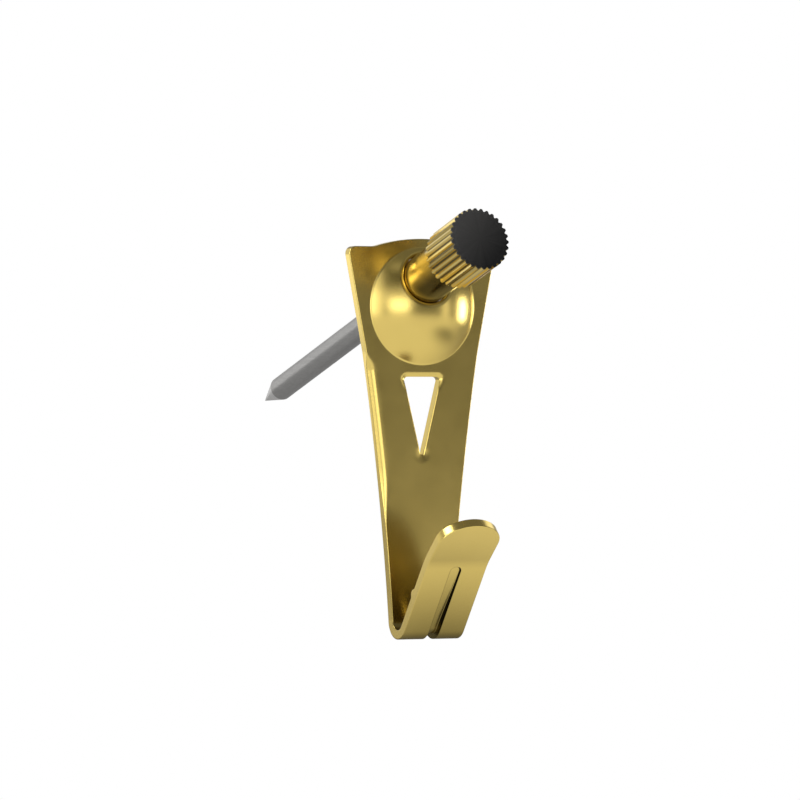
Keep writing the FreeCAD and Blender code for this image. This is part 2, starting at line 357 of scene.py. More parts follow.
row_places = [PATCH_BOTTOM] + stretches(
    PATCH_BOTTOM,
    (WINDOW_DROP, 14), (window_end, 44), (window_end + DENT_RADIUS, 12),
    (s_bend - BEND_LEAD, 46), (s_bend, 10), (s_stem, 44),
    (s_stem + NUB_PLACE - NUB_ROOM, 26), (s_stem + NUB_PLACE + NUB_ROOM, 24),
    (groove_high - GROOVE_ROOM, 24), (groove_high + GROOVE_HALF + GROOVE_ROOM / 2, 30),
    (s_tip, 8), (s_round, 10))
window_top_row = row_places.index(WINDOW_DROP)
window_tip_row = row_places.index(window_end)
half_outline += [(half_width(s), s) for s in row_places[1:]]
round_corner = len(half_outline) - 1
for turn in steps(0.0, math.pi / 2, edge_column):
    half_outline.append((TONGUE_HALF * math.cos(turn), s_round + TIP_ROUND * math.sin(turn)))
half_outline[-1] = (0.0, s_end)

outline = half_outline + [(-x, s) for x, s in reversed(half_outline[1:-1])]
outline_count = len(outline)

# A border of close points follows the outline all round
border_insets = [0.0, 0.015, 0.035, 0.06, 0.10, 0.15, 0.21, 0.28, 0.36, 0.43, BORDER]
border = []
for i, (x, s) in enumerate(outline):
    before, after = outline[i - 1], outline[(i + 1) % outline_count]
    run = Vector((after[0] - before[0], after[1] - before[1])).normalized()
    border.append([mark(x - run.y * inset, s + run.x * inset, inset) for inset in border_insets])
for i in range(outline_count):
    near, far = border[i], border[(i + 1) % outline_count]
    for j in range(len(border_insets) - 1):
        add_face(near[j], near[j + 1], far[j + 1], far[j])
border_inner = [column[-1] for column in border]

# Rows of the lower strip: side columns close up towards the middle columns, which leave the opening
CORNER_EASE = 0.5
side_shares = [(1 - j / SIDE_COLUMNS)**2 for j in range(1, SIDE_COLUMNS + 1)]
rows = []
for i, s in enumerate(row_places):
    right = patch_corner + i
    into_window = (i - window_top_row) / (window_tip_row - window_top_row)
    drop_share = 1 - min(into_window, 1.0) if into_window > 0 else i / window_top_row
    corner_drop = WINDOW_CORNER * drop_share
    inner_half = half_width(s) - BORDER
    half = middle_half(s + corner_drop)
    row = {edge_column: border_inner[right], -edge_column: border_inner[outline_count - right]}
    for sign in (1, -1):
        for j, share in enumerate(side_shares):
            lowered = corner_drop * (1 - smooth(0.0, CORNER_EASE, share))
            column = sign * (edge_column - 1 - j)
            row[column] = mark(sign * mix(half, inner_half, share), s + lowered)
    if not window_top_row < i < window_tip_row:
        for k in range(1 - MIDDLE_COLUMNS, MIDDLE_COLUMNS):
            x = half * math.sin(math.pi / 2 * k / MIDDLE_COLUMNS)
            rounded = quarter_round(WINDOW_CORNER, half - abs(x)) * corner_drop / WINDOW_CORNER
            row[k] = mark(x, s + rounded)
    rows.append(row)


def between(a, b, share):
    return (mix(a[0], b[0], share), mix(a[1], b[1], share))


# The rounded end closes the rows
TIP_ROWS = 10
end_row = {}
for k in range(edge_column + 1):
    at = round_corner + edge_column - k
    end_row[k] = border_inner[at]
    end_row[-k] = border_inner[outline_count - at]
last_row = rows[-1]
for share in steps(0.0, 1.0, TIP_ROWS)[:-1]:
    row = {}
    for k in range(-edge_column, edge_column + 1):
        if abs(k) == edge_column:
            row[k] = end_row[k]
        else:
            row[k] = mark(*between(blank_points[last_row[k]], blank_points[end_row[k]], share))
    rows.append(row)
rows.append(end_row)
for upper, lower in zip(rows, rows[1:]):
    for k in range(-edge_column, edge_column):
        add_face(upper.get(k), upper.get(k + 1), lower.get(k + 1), lower.get(k))

# Rings of the upper strip run in from its edge, up the boss and on to the nail hole
FLAT_RINGS, FOOT_RINGS, BOSS_RINGS = 8, 7, 26
nail_axis = Vector((0, -math.cos(NAIL_ANGLE), math.sin(NAIL_ANGLE)))
nail_rise = Vector((0, math.sin(NAIL_ANGLE), math.cos(NAIL_ANGLE)))
sphere_centre = Vector((0, sphere_depth - SHEET, -BOSS_DROP))
sphere_high = sphere_centre.dot(nail_axis)
sphere_off = sphere_centre.dot(nail_rise)


def round_nail(radius, turn, height):
    """A point round the nail's axis, at a height along it out of the wall."""
    across = Vector((radius * math.cos(turn), 0, 0))
    return across + nail_rise * (radius * math.sin(turn)) + nail_axis * height


def boss_height_at(ball_radius, radius, turn):
    """Height along the nail where a line beside its axis leaves the boss or its hollow."""
    aside = (radius * math.cos(turn))**2 + (radius * math.sin(turn) - sphere_off)**2
    return sphere_high + math.sqrt(ball_radius**2 - aside)


def on_boss(ball_radius, radius, turn):
    point = round_nail(radius, turn, boss_height_at(ball_radius, radius, turn))
    return (point.x, -point.z)


def on_circle(radius, turn):
    return (radius * math.cos(turn), BOSS_DROP - radius * math.sin(turn))


over_top = range(outline_count - patch_corner, outline_count + patch_corner + 1)
ring = [border_inner[i % outline_count] for i in over_top]
ring += [rows[0][k] for k in range(edge_column - 1, -edge_column, -1)]
start_points = [blank_points[i] for i in ring]
turns = [math.atan2(BOSS_DROP - s, x) for x, s in start_points]
spokes = list(zip(start_points, turns))
ring_marks = [ring]
for share in steps(0.0, 1.0, FLAT_RINGS):
    ring_marks.append([
        mark(*between(start, on_circle(foot_rim, turn), share),
             back=between(start, on_circle(hollow_rim, turn), share)) for start, turn in spokes])
for share in steps(0.0, 1.0, FOOT_RINGS):
    front_radius = mix(foot_rim, foot_seat, share)
    hollow_at = hollow_rim - HOLLOW_EDGE * share
    ring_marks.append([
        mark(*on_circle(front_radius, turn), back=on_circle(hollow_at, turn)) for turn in turns])
for share in steps(0.0, 1.0, BOSS_RINGS):
    ring_marks.append([
        mark(*between(on_circle(foot_seat, turn),
                      on_boss(sphere_radius, HOLE_RADIUS + HOLE_TURN, turn), share),
             back=between(on_circle(hollow_rim - HOLLOW_EDGE, turn),
                          on_boss(hollow_radius, HOLE_RADIUS, turn), share)) for turn in turns])
for outer, inner in zip(ring_marks, ring_marks[1:]):
    for i in range(len(ring)):
        near = (i + 1) % len(ring)
        add_face(outer[i], outer[near], inner[near], inner[i])

# The boss turns in to the hole in a soft curve, then runs straight down to the hollow behind it
TURN_STEPS, WALL_STEPS = 16, 4
hole_columns = []
for turn in turns:
    column = []
    for swing in steps(0.0, math.pi / 2, TURN_STEPS):
        radius = HOLE_RADIUS + HOLE_TURN * (1 - math.sin(swing))
        height = boss_height_at(sphere_radius, radius, turn) - HOLE_DROP * (1 - math.cos(swing))
        column.append(round_nail(radius, turn, height))
    hollow_height = boss_height_at(hollow_radius, HOLE_RADIUS, turn)
    for height in steps(height, hollow_height, WALL_STEPS)[:-1]:
        column.append(round_nail(HOLE_RADIUS, turn, height))
    hole_columns.append(column)


def finished_mesh(name, points, faces, sharp_degrees=40):
    """A closed mesh in metres from points in millimetres, faces outward, smooth but for sharp edges."""
    shell = bmesh.new()
    corners = [shell.verts.new(point * MM) for point in points]
    for face in faces:
        shell.faces.new([corners[i] for i in face])
    bmesh.ops.recalc_face_normals(shell, faces=shell.faces)
    mesh = bpy.data.meshes.new(name)
    shell.to_mesh(mesh)
    shell.free()
    mesh.shade_smooth()
    mesh.set_sharp_from_angle(angle=math.radians(sharp_degrees))
    return mesh


def add_piece(name, mesh, material, node):
    """The finished piece: rides on the one body and stands for its solid, which is hidden."""
    piece = bpy.data.objects.new(name, mesh)
    bpy.context.collection.objects.link(piece)
    if not mesh.materials:
        mesh.materials.append(material)
    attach(piece, "root")
    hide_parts(node)


blank_count = len(blank_points)
strip_points = front_points + back_points + [point for column in hole_columns for point in column]
strip_faces = list(blank_faces)
strip_faces += [[corner + blank_count for corner in reversed(face)] for face in blank_faces]
hole_chains = []
for i, column in enumerate(hole_columns):
    first = 2 * blank_count + i * len(column)
    edge = ring_marks[-1][i]
    hole_chains.append([edge] + list(range(first, first + len(column))) + [edge + blank_count])
for i, chain in enumerate(hole_chains):
    beside = hole_chains[(i + 1) % len(hole_chains)]
    for j in range(len(chain) - 1):
        strip_faces.append((chain[j], beside[j], beside[j + 1], chain[j + 1]))

# Cut faces round the outline and the opening, each with a narrow strip at both ends that keeps it flat
WALL_STRIPS = (0.06, 0.94)
edge_uses = {}
for face in blank_faces:
    for a, b in zip(face, face[1:] + face[:1]):
        edge_uses.setdefault(frozenset((a, b)), []).append((a, b))
hole_rim = set(ring_marks[-1])
cut_chains = {}


def cut_chain(corner):
    """The corner's points down the cut face, from front to back."""
    if corner not in cut_chains:
        first = len(strip_points)
        front, back = front_points[corner], back_points[corner]
        strip_points.extend(front.lerp(back, share) for share in WALL_STRIPS)
        cut_chains[corner] = [corner, first, first + 1, corner + blank_count]
    return cut_chains[corner]


for uses in edge_uses.values():
    a, b = uses[0]
    if len(uses) == 1 and a not in hole_rim:
        near, far = cut_chain(a), cut_chain(b)
        for j in range(len(near) - 1):
            strip_faces.append((far[j], near[j], near[j + 1], far[j + 1]))


def linear(hex_colour):
    """An sRGB hex colour as linear red, green, blue and alpha."""
    channels = [int(hex_colour[i:i + 2], 16) / 255 for i in (1, 3, 5)]
    return [c / 12.92 if c <= 0.04045 else ((c + 0.055) / 1.055)**2.4 for c in channels] + [1.0]


def add(tree, kind, inputs=(), **settings):
    """Adds a node with its settings. An input takes a value, or a link from a socket or a node."""
    node = tree.nodes.new(kind)
    for name, value in settings.items():
        setattr(node, name, value)
    for name, value in dict(inputs).items():
        if isinstance(value, bpy.types.Node):
            value = value.outputs[0]
        if isinstance(value, bpy.types.NodeSocket):
            tree.links.new(value, node.inputs[name])
        else:
            node.inputs[name].default_value = value
    return node


def new_material(name):
    material = bpy.data.materials.new(name)
    material.use_nodes = True
    material.node_tree.nodes.clear()
    return material, material.node_tree


def per_mm(size):
    """Texture scale, per metre, for a pattern whose spots are this many millimetres across."""
    return 1 / (size * MM)


# Brass plating on rolled steel, tumbled after stamping: a warm satin shine with a fine pebbled grain
# and faint clouds where the plating is a little thicker. Painted shade darkens the groove's wall and the
# bend's inside.
BRASS_LIGHT = "#DEC470"
BRASS_DEEP = "#DAC06B"
# Colour of the painted shade on the groove's wall and inside the bend
PAINTED_SHADE_COLOUR = "#140F07"
BRASS_GRAIN = 0.16
BRASS_GRAIN_DEPTH = 0.02
BRASS_CLOUD = 1.6
strip_brass, tree = new_material("brass_plating_tumbled")
place_on = add(tree, "ShaderNodeTexCoord").outputs["Object"]
cloud = add(tree, "ShaderNodeTexNoise", {"Vector": place_on, "Scale": per_mm(BRASS_CLOUD), "Detail": 3.0})
grain = add(tree, "ShaderNodeTexNoise", {"Vector": place_on, "Scale": per_mm(BRASS_GRAIN), "Detail": 2.0})
tone = add(tree, "ShaderNodeMix", {0: cloud, 6: linear(BRASS_DEEP), 7: linear(BRASS_LIGHT)}, data_type="RGBA")
polish = add(tree, "ShaderNodeMapRange", {
    "Value": cloud, "From Min": 0.3, "From Max": 0.7, "To Min": 0.21, "To Max": 0.24})
pebble = add(tree, "ShaderNodeBump", {"Height": grain, "Strength": 0.10, "Distance": BRASS_GRAIN_DEPTH * MM})
# Painted shade, read from the mesh attribute, darkens the plating
painted_shade = add(tree, "ShaderNodeAttribute", attribute_name="painted_shade").outputs["Fac"]
shade_mixed = add(tree, "ShaderNodeMix", {0: painted_shade, 6: tone.outputs[2], 7: linear(PAINTED_SHADE_COLOUR)}, data_type="RGBA")
shader = add(tree, "ShaderNodeBsdfPrincipled", {
    "Base Color": shade_mixed.outputs[2], "Metallic": 1.0, "Roughness": polish, "Normal": pebble})
add(tree, "ShaderNodeOutputMaterial", {"Surface": shader})

strip_mesh = finished_mesh("hook_strip_pressed", strip_points, strip_faces)
# Painted shade stored per point: inside the bend on the front, along the groove's wall at the back
point_shades = [0.0] * len(strip_points)
point_shades[:2 * blank_count] = front_shades + back_shades
strip_mesh.attributes.new("painted_shade", "FLOAT", "POINT").data.foreach_set("value", point_shades)
add_piece("hook_strip_pressed", strip_mesh, strip_brass, "hook_strip")


# Nail
# A hardened steel nail, drawn from wire, with a ground conical point.
# It slopes down into the wall, and its reduced tang is pressed into the head.
SHANK_RADIUS = 0.915
SHANK_REACH = 24.45
POINT_LENGTH = 2.90
POINT_TIP = 0.05
TANG_RADIUS = 0.70
TANG_LENGTH = 7.00
NECK_START = 0.45
CONE_STEPS, SHANK_STEPS = 24, 60
TURNED_SEGMENTS = 128
NAIL_SHARP = 15


def lathe(profile, segments=TURNED_SEGMENTS):
    """Points and faces of a profile of radius and height, turned round the nail's axis."""
    points, faces = [], []
    for radius, height in profile:
        points += [round_nail(radius, 2 * math.pi * i / segments, height) for i in range(segments)]
    for j in range(len(profile) - 1):
        for i in range(segments):
            near = (i + 1) % segments
            faces.append([j * segments + i, j * segments + near,
                          (j + 1) * segments + near, (j + 1) * segments + i])
    faces.append(list(range(segments)))
    faces.append(list(range((len(profile) - 1) * segments, len(profile) * segments)))
    return points, faces


nail_profile = [(POINT_TIP, -SHANK_REACH - POINT_LENGTH)]
for share in steps(0.0, 1.0, CONE_STEPS):
    cone_radius = mix(POINT_TIP, SHANK_RADIUS, share)
    nail_profile.append((cone_radius, -SHANK_REACH - POINT_LENGTH * (1 - share)))
shank_places = stretches(-SHANK_REACH, (-SHANK_REACH + POINT_TIP, 1), (NECK_START, SHANK_STEPS))
nail_profile += [(SHANK_RADIUS, height) for height in shank_places]
nail_profile += [(TANG_RADIUS, NECK_START), (TANG_RADIUS, NECK_START + TANG_LENGTH)]

# Hardened steel wire, bright drawn: neutral grey, with faint lines along the nail from the die.
# The conical point is coloured paler than the shank.
STEEL_LIGHT = "#B6B5B3"
STEEL_DARK = "#A09F9D"
STEEL_POINT_PALER = "#E0DFDD"
DRAWN_LINE = 0.12
DRAWN_LINE_DEPTH = 0.01
DRAWN_STRETCH = 0.04
nail_steel, tree = new_material("hardened_steel_drawn")
place_on = add(tree, "ShaderNodeTexCoord").outputs["Object"]
lengthwise = add(tree, "ShaderNodeMapping", {
    "Vector": place_on, "Rotation": (NAIL_ANGLE, 0.0, 0.0), "Scale": (1.0, DRAWN_STRETCH, 1.0)})
lines = add(tree, "ShaderNodeTexNoise", {"Vector": lengthwise, "Scale": per_mm(DRAWN_LINE), "Detail": 2.0})
tone = add(tree, "ShaderNodeMix", {0: lines, 6: linear(STEEL_DARK), 7: linear(STEEL_LIGHT)}, data_type="RGBA")
ground = add(tree, "ShaderNodeAttribute", attribute_name="ground").outputs["Fac"]
finish = add(tree, "ShaderNodeMix", {
    0: ground, 6: tone.outputs[2], 7: linear(STEEL_POINT_PALER)}, data_type="RGBA")
scored = add(tree, "ShaderNodeBump", {"Height": lines, "Strength": 0.15, "Distance": DRAWN_LINE_DEPTH * MM})
shader = add(tree, "ShaderNodeBsdfPrincipled", {
    "Base Color": finish.outputs[2], "Metallic": 1.0, "Roughness": 0.40, "Normal": scored})
add(tree, "ShaderNodeOutputMaterial", {"Surface": shader})

nail_mesh = finished_mesh("nail_shank", *lathe(nail_profile), sharp_degrees=NAIL_SHARP)
on_point = [float(height <= -SHANK_REACH) for radius, height in nail_profile for i in range(TURNED_SEGMENTS)]
nail_mesh.attributes.new("ground", "FLOAT", "POINT").data.foreach_set("value", on_point)
add_piece("nail_shank", nail_mesh, nail_steel, "nail")


# Nail head
# Turned from brass bar: a smooth neck that fills the hole in the boss, and a straight-knurled barrel.
# It is pressed on the nail's tang, and the barrel's flat end is lacquered black.
NECK_RADIUS = 1.87
NECK_EDGE = 0.08
KNURL_START = 6.15
KNURL_LENGTH = 4.24
KNURL_RADIUS = 2.37
KNURL_DEPTH = 0.17
KNURL_TEETH = 30
KNURL_CREST = 2 / 7
KNURL_ROOT = 1 / 7
HEAD_CHAMFER = 0.15
HEAD_SHARP = 32
NECK_INTO_BARREL = 0.3
EDGE_STEPS, NECK_STEPS = 5, 30
knurl_end = KNURL_START + KNURL_LENGTH
neck_end = KNURL_START + NECK_INTO_BARREL

neck_profile = [(TANG_RADIUS, NECK_START), (NECK_RADIUS - NECK_EDGE, NECK_START)]
for swing in steps(0.0, math.pi / 2, EDGE_STEPS):
    edge_radius = NECK_RADIUS - NECK_EDGE * (1 - math.sin(swing))
    neck_profile.append((edge_radius, NECK_START + NECK_EDGE * (1 - math.cos(swing))))
neck_profile += [(NECK_RADIUS, height) for height in steps(NECK_START + NECK_EDGE, neck_end, NECK_STEPS)]
neck_profile.append((TANG_RADIUS, neck_end))

# Brass bar, turned and left bright: smoother and a little paler than the plating, with fine tool rings.
# Painted shade darkens the neck's underside and the knurl's valleys.
BAR_LIGHT = "#DEC77C"
BAR_DEEP = "#D9C074"
BAR_PAINTED_SHADE = "#48422E"
TOOL_RING = 0.10
TOOL_RING_DEPTH = 0.01
TOOL_STRETCH = 0.05
head_brass, tree = new_material("brass_bar_turned")
place_on = add(tree, "ShaderNodeTexCoord").outputs["Object"]
on_axis = add(tree, "ShaderNodeMapping", {"Vector": place_on, "Rotation": (NAIL_ANGLE, 0.0, 0.0)})
round_axis = add(tree, "ShaderNodeMapping", {"Vector": on_axis, "Scale": (TOOL_STRETCH, 1.0, TOOL_STRETCH)})
rings = add(tree, "ShaderNodeTexNoise", {"Vector": round_axis, "Scale": per_mm(TOOL_RING), "Detail": 1.0})
tone = add(tree, "ShaderNodeMix", {0: rings, 6: linear(BAR_DEEP), 7: linear(BAR_LIGHT)}, data_type="RGBA")
scored = add(tree, "ShaderNodeBump", {"Height": rings, "Strength": 0.08, "Distance": TOOL_RING_DEPTH * MM})
# Painted shade on the neck's underside and in the knurl's valleys
painted_shade = add(tree, "ShaderNodeAttribute", attribute_name="painted_shade").outputs["Fac"]
shade_mixed = add(tree, "ShaderNodeMix", {
    0: painted_shade, 6: tone.outputs[2], 7: linear(BAR_PAINTED_SHADE)}, data_type="RGBA")
shader = add(tree, "ShaderNodeBsdfPrincipled", {
    "Base Color": shade_mixed.outputs[2], "Metallic": 1.0, "Roughness": 0.17, "Normal": scored})
add(tree, "ShaderNodeOutputMaterial", {"Surface": shader})

# Black lacquer, dabbed on the end: near black with a low satin shine. A painted sheen makes it greyer towards
# one side, and painted radial sheen streaks run out from the middle.
LACQUER_DARK = "#0B0B0B"
LACQUER_SHEEN = "#3E3D3C"
LACQUER_SHEEN_SPAN = 5.2
LACQUER_SHEEN_RANGE = (-0.18, 0.82)
SHEEN_STREAK_COUNT = 26.0
SHEEN_STREAK_WEIGHT = 0.35
end_lacquer, tree = new_material("black_lacquer_dabbed")
place_on = add(tree, "ShaderNodeTexCoord").outputs["Object"]
on_axis = add(tree, "ShaderNodeMapping", {"Vector": place_on, "Rotation": (NAIL_ANGLE, 0.0, 0.0)})
spot = add(tree, "ShaderNodeSeparateXYZ", {"Vector": on_axis}).outputs
bearing = add(tree, "ShaderNodeMath", {0: spot["X"], 1: spot["Z"]}, operation="ARCTAN2")
sheen_streaks = add(tree, "ShaderNodeTexNoise", {
    "W": bearing, "Scale": SHEEN_STREAK_COUNT / (2 * math.pi)}, noise_dimensions="1D")
# Painted sheen: the end's colour turns greyer towards one side, with radial streaks mixed in
aslant = add(tree, "ShaderNodeMath", {0: spot["Z"], 1: spot["X"]}, operation="SUBTRACT")
run = add(tree, "ShaderNodeMapRange", {
    "Value": aslant, "From Min": -LACQUER_SHEEN_SPAN / 2 * MM, "From Max": LACQUER_SHEEN_SPAN / 2 * MM,
    "To Min": LACQUER_SHEEN_RANGE[0], "To Max": LACQUER_SHEEN_RANGE[1]})
sheen = add(tree, "ShaderNodeMath", {0: sheen_streaks, 1: SHEEN_STREAK_WEIGHT, 2: run},
           operation="MULTIPLY_ADD", use_clamp=True)
tone = add(tree, "ShaderNodeMix", {
    0: sheen, 6: linear(LACQUER_DARK), 7: linear(LACQUER_SHEEN)}, data_type="RGBA")
shader = add(tree, "ShaderNodeBsdfPrincipled", {
    "Base Color": tone.outputs[2], "Roughness": 0.35, "Specular IOR Level": 0.4})
add(tree, "ShaderNodeOutputMaterial", {"Surface": shader})

# The barrel: a toothed circle carried along the axis, with both ends eased in. Its shares say where on a
# tooth the crest begins and the root ends, where on a half barrel the easing begins, and the end's size.
POINTS_PER_TOOTH = 14
AXIS_POINTS = 30
# The next two set the painted shade in the knurl's valleys
VALLEY_SHADE_POWER = 8.0
VALLEY_SHADE_FULL = 0.9
LACQUER_EDGE = 0.12
barrel_sizes = {
    "Teeth": KNURL_TEETH,
    "Crest Radius": KNURL_RADIUS * MM,
    "Root Radius": (KNURL_RADIUS - KNURL_DEPTH) * MM,
    "Crest Share": 1 - KNURL_CREST,
    "Root Share": KNURL_ROOT,
    "Start": KNURL_START * MM,
    "End": knurl_end * MM,
    "Eased Share": 1 - 2 * HEAD_CHAMFER / KNURL_LENGTH,
    "End Share": 1 - HEAD_CHAMFER / KNURL_RADIUS,
    "Lacquer From": (knurl_end - LACQUER_EDGE) * MM,
}
tree = bpy.data.node_groups.new("knurled_barrel", "GeometryNodeTree")
sockets = {}
for name, value in barrel_sizes.items():
    kind = "NodeSocketInt" if isinstance(value, int) else "NodeSocketFloat"
    socket = tree.interface.new_socket(name, in_out="INPUT", socket_type=kind)
    sockets[name] = socket.identifier
tree.interface.new_socket("Geometry", in_out="OUTPUT", socket_type="NodeSocketGeometry")
size = add(tree, "NodeGroupInput").outputs

ring_points = add(tree, "ShaderNodeMath", {0: size["Teeth"], 1: POINTS_PER_TOOTH}, operation="MULTIPLY")
circle = add(tree, "GeometryNodeCurvePrimitiveCircle", {"Resolution": ring_points, "Radius": 1.0})
point_at = add(tree, "GeometryNodeInputIndex")
half_teeth = add(tree, "ShaderNodeMath", {0: point_at, 1: POINTS_PER_TOOTH / 2}, operation="DIVIDE")
up_tooth = add(tree, "ShaderNodeMath", {0: half_teeth, 1: 1.0}, operation="PINGPONG")
down_flank = add(tree, "ShaderNodeMapRange", {
    "Value": up_tooth, "From Min": size["Crest Share"], "From Max": size["Root Share"]})
# Painted shade in the knurl's valleys, stored on the toothed profile
in_root = add(tree, "ShaderNodeMath", {0: down_flank, 1: VALLEY_SHADE_POWER}, operation="POWER")
valley_shade = add(tree, "ShaderNodeMath", {0: in_root, 1: VALLEY_SHADE_FULL}, operation="MULTIPLY")
valley_shaded = add(tree, "GeometryNodeStoreNamedAttribute", {
    "Geometry": circle, "Name": "painted_shade", "Value": valley_shade}, data_type="FLOAT", domain="POINT")
spread = add(tree, "ShaderNodeMapRange", {
    "Value": down_flank, "To Min": size["Crest Radius"], "To Max": size["Root Radius"]})
on_circle_at = add(tree, "GeometryNodeInputPosition")
toothed_at = add(tree, "ShaderNodeVectorMath", {0: on_circle_at, "Scale": spread}, operation="SCALE")
toothed = add(tree, "GeometryNodeSetPosition", {"Geometry": valley_shaded, "Position": toothed_at})

axis = add(tree, "GeometryNodeCurvePrimitiveLine", {"Start": (0, 0, 0), "End": (0, 0, 1)})
stations = add(tree, "GeometryNodeResampleCurve", {"Curve": axis, "Count": AXIS_POINTS})
along_axis = add(tree, "GeometryNodeSplineParameter")
half_turn = add(tree, "ShaderNodeMath", {0: along_axis, 1: math.pi}, operation="MULTIPLY")
wave = add(tree, "ShaderNodeMath", {0: half_turn}, operation="COSINE")
height = add(tree, "ShaderNodeMapRange", {
    "Value": wave, "From Min": 1.0, "From Max": -1.0, "To Min": size["Start"], "To Max": size["End"]})
station_at = add(tree, "ShaderNodeCombineXYZ", {"Z": height})
spaced = add(tree, "GeometryNodeSetPosition", {"Geometry": stations, "Position": station_at})
to_end = add(tree, "ShaderNodeMath", {0: wave}, operation="ABSOLUTE")
into_end = add(tree, "ShaderNodeMapRange", {
    "Value": to_end, "From Min": size["Eased Share"], "From Max": 1.0})
swing_in = add(tree, "ShaderNodeMath", {0: into_end}, operation="ARCSINE")
arch = add(tree, "ShaderNodeMath", {0: swing_in}, operation="COSINE")
trimmed = add(tree, "ShaderNodeMapRange", {"Value": arch, "To Min": size["End Share"], "To Max": 1.0})
sized = add(tree, "GeometryNodeSetCurveRadius", {"Curve": spaced, "Radius": trimmed})

barrel = add(tree, "GeometryNodeCurveToMesh", {"Curve": sized, "Profile Curve": toothed, "Fill Caps": True})
realized = add(tree, "GeometryNodeRealizeInstances", {"Geometry": barrel})
bright = add(tree, "GeometryNodeSetMaterial", {"Geometry": realized, "Material": head_brass})
barrel_at = add(tree, "ShaderNodeSeparateXYZ", {"Vector": add(tree, "GeometryNodeInputPosition")}).outputs
at_end = add(tree, "FunctionNodeCompare", {
    0: barrel_at["Z"], 1: size["Lacquer From"]}, operation="GREATER_THAN")
blacked = add(tree, "GeometryNodeSetMaterial", {
    "Geometry": bright, "Selection": at_end, "Material": end_lacquer})
add(tree, "NodeGroupOutput", {"Geometry": blacked})

barrel_maker = bpy.data.objects.new("barrel_maker", bpy.data.meshes.new("barrel_maker"))
bpy.context.collection.objects.link(barrel_maker)
knurl = barrel_maker.modifiers.new("knurl", "NODES")
knurl.node_group = tree
for name, value in barrel_sizes.items():
    knurl[sockets[name]] = value
evaluated = barrel_maker.evaluated_get(bpy.context.evaluated_depsgraph_get())
head_mesh = bpy.data.meshes.new_from_object(evaluated)
bpy.data.objects.remove(barrel_maker)
head_mesh.transform(Matrix.Rotation(math.pi / 2 - NAIL_ANGLE, 4, "X"))

# The lacquer stands on the end as a low dab
DAB_RADIUS = 2.10
DAB_RISE = 0.08
DAB_SHARES = (1.05, 0.02)
DAB_STEPS = 24
dab_profile = [(DAB_RADIUS, knurl_end - DAB_RISE)]
for share in steps(*DAB_SHARES, DAB_STEPS)[1:]:
    dab_profile.append((DAB_RADIUS * share, knurl_end + DAB_RISE * (1 - share * share)))
dab_mesh = finished_mesh("lacquer_dab", *lathe(dab_profile))
dab_mesh.polygons.foreach_set("material_index", [1] * len(dab_mesh.polygons))

# Painted shade on the underside of the neck, where it bears in the hole
NECK_SHADE_FROM, NECK_SHADE_FULL = 0.05, -0.75
NECK_SHADE_AT_HOLE = 0.55
NECK_SHADE_GROWS = (1.4, 2.8)
neck_mesh = finished_mesh("neck_turned", *lathe(neck_profile))
neck_shade_round = [1 - smooth(NECK_SHADE_FULL, NECK_SHADE_FROM, math.sin(2 * math.pi * i / TURNED_SEGMENTS))
              for i in range(TURNED_SEGMENTS)]
neck_shade = [round_share * mix(NECK_SHADE_AT_HOLE, 1.0, smooth(*NECK_SHADE_GROWS, height))
        for radius, height in neck_profile for round_share in neck_shade_round]
neck_mesh.attributes.new("painted_shade", "FLOAT", "POINT").data.foreach_set("value", neck_shade)

head = bmesh.new()
for part in (head_mesh, neck_mesh, dab_mesh):
    head.from_mesh(part)
bmesh.ops.recalc_face_normals(head, faces=head.faces)
head.to_mesh(head_mesh)
head.free()
head_mesh.shade_smooth()
head_mesh.set_sharp_from_angle(angle=math.radians(HEAD_SHARP))
add_piece("nail_head_knurled", head_mesh, head_brass, "nail_head")


# Studio
# A plain pale floor well below the hook, soft light round it and a camera at eye level, left of the front.
# A room of soft panels and a pale card, seen only in the metal, give the plating its reflections.
FLOOR_DROP = 0.12
FLOOR_HALF = 3.0
WHITE = "#FFFFFF"
scene = bpy.context.scene
scene.view_settings.view_transform = "Standard"
floor_mesh = bpy.data.meshes.new("floor")
floor_signs = ((-1, -1), (1, -1), (1, 1), (-1, 1))
floor_corners = [(x * FLOOR_HALF, y * FLOOR_HALF, -FLOOR_DROP) for x, y in floor_signs]
floor_mesh.from_pydata(floor_corners, [], [(0, 1, 2, 3)])
floor = bpy.data.objects.new("floor", floor_mesh)
scene.collection.objects.link(floor)
pale_floor, tree = new_material("pale_floor_lit")
glow = add(tree, "ShaderNodeEmission", {"Color": linear(WHITE), "Strength": 1.0})
add(tree, "ShaderNodeOutputMaterial", {"Surface": glow})
floor_mesh.materials.append(pale_floor)
floor.visible_glossy = False

# The room, as it shows in the metal: dim in front, a bright back wall on the left and soft panels
# round the hook. The camera itself sees plain white behind the hook.
ROOM_FRONT = 0.20
ROOM_TOP = 0.19
ROOM_RISE = (15.0, 60.0)
room = bpy.data.worlds.new("studio")
scene.world = room
room.use_nodes = True
tree = room.node_tree
tree.nodes.clear()
toward = add(tree, "ShaderNodeTexCoord").outputs["Generated"]
way = add(tree, "ShaderNodeSeparateXYZ", {"Vector": toward}).outputs
frontward = add(tree, "ShaderNodeMath", {0: way["Y"], 1: -1.0}, operation="MULTIPLY")
turn_right = add(tree, "ShaderNodeMath", {0: way["X"], 1: frontward}, operation="ARCTAN2")
bearing = add(tree, "ShaderNodeMath", {0: turn_right}, operation="DEGREES")
turn_up = add(tree, "ShaderNodeMath", {0: way["Z"]}, operation="ARCSINE")
lift = add(tree, "ShaderNodeMath", {0: turn_up}, operation="DEGREES")
around = add(tree, "ShaderNodeMapRange", {
    "Value": lift, "From Min": ROOM_RISE[0], "From Max": ROOM_RISE[1],
    "To Min": ROOM_FRONT, "To Max": ROOM_TOP}, interpolation_type="SMOOTHSTEP")

